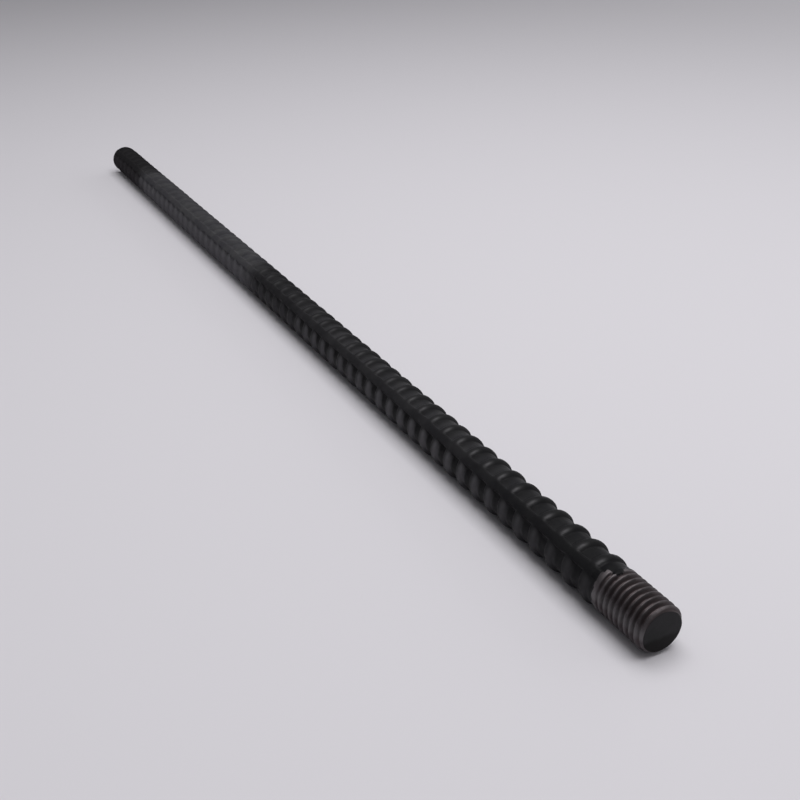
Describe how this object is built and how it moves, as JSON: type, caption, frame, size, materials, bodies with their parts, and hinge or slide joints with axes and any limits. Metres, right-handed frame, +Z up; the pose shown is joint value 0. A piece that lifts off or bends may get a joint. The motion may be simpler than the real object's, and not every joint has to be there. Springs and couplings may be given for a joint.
{
  "type": "threaded anchor rod",
  "caption": "Straight length of dark ribbed steel bar with a short metric screw thread and bevelled tip on one end, for casting or grouting into concrete.",
  "frame": {"origin": "on the floor plane that the rod lies on, below the middle of the rod's length and of its width", "axes": "+X along the rod, from the plain end towards the threaded tip; +Z up; +Y across the rod"},
  "size_m": [0.42, 0.0126, 0.0125],
  "materials": {
    "anchor_rod": "dark mill scale from hot rolling, bare and worn on the thread's crests, a little rust on the tip"
  },
  "bodies": {
    "root": {"anchor_rod": "anchor_rod"}
  },
  "joints": []
}
